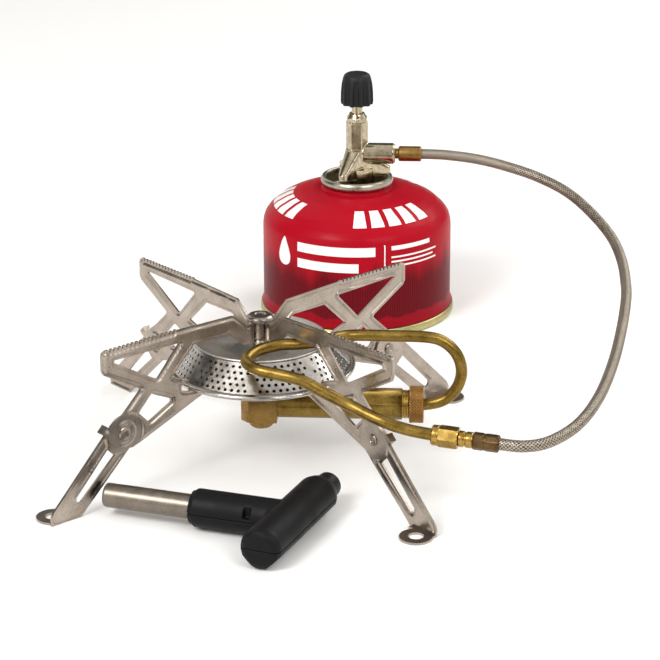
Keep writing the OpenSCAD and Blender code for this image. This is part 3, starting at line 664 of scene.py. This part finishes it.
def gas_path():
    along = (1, 0, 0)
    axis = (0, 0, 24.3)
    place("mixing_tube_drawn", merged_copy("mixing_tube"), "stove", DRAWN_BRASS,
          ("mixing_tube",), sharp=28)
    turned("neck_rings",
           [(5.4, 58.45), (5.95, 58.45), (5.95, 59), (5.65, 59.15), (5.65, 59.35), (5.95, 59.5),
            (5.95, 60.05), (5.65, 60.2), (5.65, 60.4), (5.9, 60.55), (5.9, 61.15), (5.4, 61.3)],
           axis, along, "stove", FITTING_BRASS, ease=0.05, closed=True)
    knurl()
    preheat()
    turned("block_plug",
           [(0, 13.6), (4.2, 13.6), (5.1, 14.6), (5.1, 17.5), (3.5, 17.5), (3.5, 20.5), (0, 20.5)],
           (0, 0, 0), (0, 0, 1), "stove", BAR_BRASS, ("bottom_plug",), ease=0.3, sides=72)
    bevelled("brass_block", "stove", BAR_BRASS, 0.35)
    tail = np.array((72, -58, 35.6))
    way = np.array((0.98347, -0.17341, -0.05234))
    turned("union_nut",
           [(0, 0), (3.7, 0), (4.1, 0.5), (4.1, 2.4), (3.95, 2.7), (4.25, 3.0), (4.4, 3.4), (4.4, 10.1),
            (4.0, 10.6), (0, 10.6)],
           tail, way, "stove", FITTING_BRASS, ("connector_nut",), ease=0.12,
           flats=(6, 3.82, 2.9, 10.5), sides=120)
    turned("hose_collar",
           [(0, 10.6), (2.9, 10.6), (3.2, 11.0), (3.2, 12.6), (2.8, 12.9), (2.8, 13.5), (3.2, 13.8),
            (3.2, 16.0), (3.0, 16.4), (0, 16.4)],
           tail, way, "stove", FITTING_BRASS, ("hose_ferrule",), ease=0.12, sides=72)
    turned("crimped_sleeve",
           [(0, 16.4), (3.2, 16.4), (3.5, 16.8), (3.5, 20.2), (3.3, 20.5), (3.3, 21.3), (3.5, 21.6),
            (3.5, 26.2), (3.1, 26.7), (2.5, 26.7), (2.5, 26), (0, 26)],
           tail, way, "stove", BRONZE, ("hose_sleeve",), ease=0.12,
           flats=(8, 3.32, 16.9, 26.1), sides=128)
    turned("outlet_crimp",
           [(0, 17.6), (2.4, 17.6), (2.4, 19.6), (3.2, 19.8), (3.6, 20.3), (3.6, 30), (3.3, 30.6),
            (2.5, 30.6), (2.5, 30), (0, 30)],
           (30, 183, 77.2), along, "stove", BAR_BRASS, ("outlet_ferrule",), ease=0.12,
           sides=72)


def bevelled(node, body, material, width):
    """A machined piece: its own solid with every crisp edge broken by a small two-step chamfer."""
    raw = raw_object(node, merged_copy(node, dissolve=True))
    edge = raw.modifiers.new("edge", "BEVEL")
    edge.width = width * MM
    edge.segments = 2
    edge.limit_method = "ANGLE"
    edge.angle_limit = math.radians(35)
    return place(node + "_machined", finished_mesh(raw), body, material, (node,), sharp=30)


# ---------------------------------------------------------------- valve and canister

def valve():
    cast("valve_body", "stove", NICKEL, 0.28, 5)
    cast("knob", "control", NYLON, 0.22, 4)
    turned("gland_hex",
           [(2.7, 93.1), (5.0, 93.1), (5.15, 93.3), (5.15, 94.4), (4.7, 95.2), (3.9, 96.4),
            (3.6, 97), (2.7, 97)],
           VALVE_AXIS, (0, 0, 1), "stove", NICKEL, ("gland_nut",), ease=0.15, closed=True,
           flats=(6, 4.55, 93.0, 94.8), sides=120)
    turned("spindle_turned",
           [(0, 79.3), (0.6, 79.3), (2.6, 82.3), (2.6, 88.3), (2.0, 88.3), (2.0, 89.7), (2.6, 89.7),
            (2.6, 108.2), (0, 108.2)],
           VALVE_AXIS, (0, 0, 1), "control", NICKEL, ("spindle",), ease=0.1, sides=64)


CAN_OUTLINE = [(45, 4.3), (45.9, 4.4), (45.2, 6.5), (45, 8), (45, 43), (44.7, 45.6), (43.9, 48),
               (42, 50.6), (38, 54.2), (33, 56.9), (27, 59), (21, 60.4), (18.5, 60.7), (17, 60.5),
               (16.4, 60.9), (16.4, 62.1)]


def canister():
    up, axis = (0, 0, 1), VALVE_AXIS
    inner = [(15.6, 62.1), (15.6, 59.9), (26.6, 57.9), (37.4, 53.2), (41.2, 49.6), (44.2, 43),
             (44.2, 4.3)]
    turned("shell_printed", CAN_OUTLINE + inner, axis, up, "canister", PAINT,
           ("canister_shell",), ease=0.8, closed=True, sides=192)
    turned("foot_seam",
           [(43.8, 0.6), (44.6, 0.05), (45.9, 0.05), (46.5, 0.6), (46.65, 1.6), (46.5, 2.7), (46.1, 3.3),
            (46.35, 3.7), (46, 4.1), (43.8, 4.1)],
           axis, up, "canister", GOLD_LACQUER, ("base_rim",), ease=0.25, closed=True,
           sides=192)
    turned("collar_bead",
           [(15.3, 58.8), (15.3, 61.6), (15.9, 62.3), (16.8, 62.6), (17.25, 63.6), (17.25, 65.1),
            (16.7, 66.2), (15.8, 66.55), (15, 66.2), (14.6, 65.2), (14.6, 59.6), (12.8, 58.9),
            (8, 58.6), (6, 58.6), (6, 57.8), (9, 57.8)],
           axis, up, "canister", TIN, ("canister_collar",), ease=0.4, closed=True, sides=128)
    printed_marks()


def can_surface(degrees, height):
    """A point on the can: the outline's radius at that height, turned to that angle."""
    outline = np.array(CAN_OUTLINE[2:12])
    r = np.interp(height, outline[:, 1], outline[:, 0])
    a = np.radians(degrees)
    return np.stack([VALVE_AXIS[0] + r * np.cos(a), VALVE_AXIS[1] + r * np.sin(a), height], -1)


def ink_patch(outline):
    """A flat mark of (degrees, height) points wrapped on the can: its front 0.1 mm proud and its
    back as far under the paint."""
    arc = np.array(outline, float) * (np.pi / 180 * CAN_R, 1)
    nxt = np.roll(arc, -1, 0)
    n = 10
    u = (np.arange(n) / n)[None, :, None]
    line = (arc[:, None] + (nxt - arc)[:, None] * u).reshape(-1, 2)
    i = np.arange(len(line))
    edges = np.stack([i, (i + 1) % len(line)], 1)
    flat, cells, _ = cut_sheet(line, edges, 1.0)
    base = can_surface(flat[:, 0] / (np.pi / 180 * CAN_R), flat[:, 1])
    away = base - np.array(VALVE_AXIS)
    tip = np.clip((flat[:, 1] - 43) / 14, 0, 1)[:, None]
    away[:, 2] = 0
    away = away / np.linalg.norm(away, axis=1, keepdims=True) * (1 - tip) + np.array((0, 0, 1)) * tip
    away /= np.linalg.norm(away, axis=1, keepdims=True)
    return base + 0.1 * away, base - 0.1 * away, cells, edges


def printed_marks():
    """Plain printed marks: a drop and bars on the side, thin rules beside them, and a broken ring of
    tapered blocks on the shoulder."""
    t = np.linspace(0, 2 * np.pi, 28, endpoint=False)
    drop = np.stack([-136 + 7.2 * np.sin(t) * (0.62 + 0.38 * np.cos(t)), 38.5 - 7 * np.cos(t)], 1)
    marks = [drop]
    marks += [[(-125, 40.2), (-76, 40.2), (-76, 44.6), (-125, 44.6)],
              [(-125, 32.4), (-86, 32.4), (-86, 36.8), (-125, 36.8)]]
    marks += [[(-70.6, 31), (-69.9, 31), (-69.9, 45.4), (-70.6, 45.4)]]
    marks += [[(-66, z), (-66 + w, z), (-66 + w, z + h), (-66, z + h)]
              for z, w, h in ((42.6, 28, 2.0), (38.8, 34, 0.8), (36.6, 31, 0.8), (34.4, 34, 0.8))]
    for middle in (-166, -60, 60):
        for k in range(5):
            a = middle + (k - 2) * 12.5
            marks.append([(a - 4.6, 52.6), (a + 4.6, 52.6), (a + 4.0, 57.8), (a - 4.0, 57.8)])
    verts, faces, total = [], [], 0
    for outline in marks:
        front, back, cells, edges = ink_patch(outline)
        verts += [front, back]
        faces += (cells + total).tolist() + (cells[:, ::-1] + total + len(front)).tolist()
        faces += [[a + total, b + total, b + total + len(front), a + total + len(front)]
                  for a, b in edges.tolist()]
        total += 2 * len(front)
    piece("printed_marks", np.vstack(verts) * MM, faces, "canister", INK, sharp=50)


# ---------------------------------------------------------------- lighter

def lighter():
    a = math.radians(-15)
    middle = np.array((18.4, -81.5, 8.4))
    away = np.array((-math.cos(a), -math.sin(a), 0))
    turned("lighter_guard",
           [(4.9, 33), (4.9, 76.2), (4.7, 77), (4.4, 77), (4.4, 33)],
           middle, away, "lighter", LIGHTER_STEEL, ("lighter_tube",), ease=0.15,
           closed=True)
    cast("lighter_grip_upper", "lighter", GRIP_NYLON, 0.36, 4)
    cast("lighter_grip_lower", "lighter", GRIP_NYLON, 0.36, 4)
    cast("lighter_button", "button", BUTTON_NYLON, 0.25, 5)


# ---------------------------------------------------------------- what stays as it is

def dress_hidden_pieces():
    """Hidden or plain CAD pieces keep their shape and take a real finish."""
    finish = {TURNED: ("post_nut", "hub_washer", "valve_pin", "canister_spring", "lighter_spring",
                       "lighter_electrode"),
              BAR_BRASS: ("burner_neck",), FITTING_BRASS: ("jet", "jet_holder", "tube_olive"),
              RUBBER: ("spindle_seal", "coupling_seal", "canister_stem"),
              TIN: ("canister_base", "canister_valve"), CERAMIC: ("lighter_piezo", "lighter_insulator")}
    for material, nodes in finish.items():
        for node in nodes:
            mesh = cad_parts[node].data
            mesh.materials.clear()
            mesh.materials.append(material)


# ---------------------------------------------------------------- studio

def studio():
    """A pale floor, a sky that is dim but for three windows and the part overhead, so that metal has
    light and dark to reflect, and three softboxes."""
    floor_mesh = bpy.data.meshes.new("floor")
    floor_mesh.from_pydata([(-6, -6, 0), (6, -6, 0), (6, 6, 0), (-6, 6, 0)], [], [(0, 1, 2, 3)])
    floor = bpy.data.objects.new("floor", floor_mesh)
    bpy.context.collection.objects.link(floor)
    material, tree, shader, where = start("paper_floor", Roughness=0.9)
    shader.inputs["Base Color"].default_value = linear("#F4F3F1")
    floor_mesh.materials.append(material)
    world = bpy.data.worlds.new("studio")
    world.use_nodes = True
    bpy.context.scene.world = world
    tree = world.node_tree
    where = add(tree, "TexCoord")
    axes = add(tree, "SeparateXYZ", {0: where.outputs["Generated"]})
    turn = add(tree, "Math", {0: axes.outputs["Y"], 1: axes.outputs["X"]}, operation="ARCTAN2")
    dim, window_level, overhead = 0.1, 0.8, 0.95
    side = dim
    for bearing, half_width in ((232, 36), (5, 34), (130, 20)):
        offset = add(tree, "Math", {0: turn.outputs[0], 1: math.radians(bearing)}, operation="SUBTRACT")
        near = add(tree, "Math", {0: offset.outputs[0]}, operation="COSINE")
        window = add(tree, "MapRange", {"Value": near.outputs[0], "To Min": 0.0, "To Max": window_level,
                                        "From Min": math.cos(math.radians(half_width + 10)),
                                        "From Max": math.cos(math.radians(half_width - 10))},
                     interpolation_type="SMOOTHSTEP")
        side = add(tree, "Math", {0: window.outputs[0], 1: side}, operation="ADD").outputs[0]
    height = add(tree, "MapRange", {"Value": axes.outputs["Z"], "From Min": 0.78, "From Max": 0.96},
                 interpolation_type="SMOOTHSTEP")
    level = add(tree, "MapRange", {"Value": height.outputs[0], "To Min": side, "To Max": overhead})
    background = tree.nodes["Background"]
    tree.links.new(level.outputs[0], background.inputs["Strength"])
    background.inputs["Color"].default_value = (1.0, 0.99, 0.97, 1)
    for name, spot, size, power in (("key", (-0.7, -0.9, 1.1), 0.6, 15),
                                    ("rim", (0.9, 0.9, 1.0), 0.8, 9),
                                    ("fill", (0.8, -0.9, 0.9), 0.8, 9)):
        data = bpy.data.lights.new(name, "AREA")
        data.size = size
        data.energy = power
        lamp = bpy.data.objects.new(name, data)
        lamp.location = spot
        aim = Vector((0.05, 0.06, 0.03)) - Vector(spot)
        lamp.rotation_euler = aim.to_track_quat("-Z", "Y").to_euler()
        bpy.context.collection.objects.link(lamp)
    bpy.context.scene.view_settings.view_transform = "Standard"


set_camera()
braided_hose()
stand()
burner()
gas_path()
valve()
canister()
lighter()
dress_hidden_pieces()
studio()
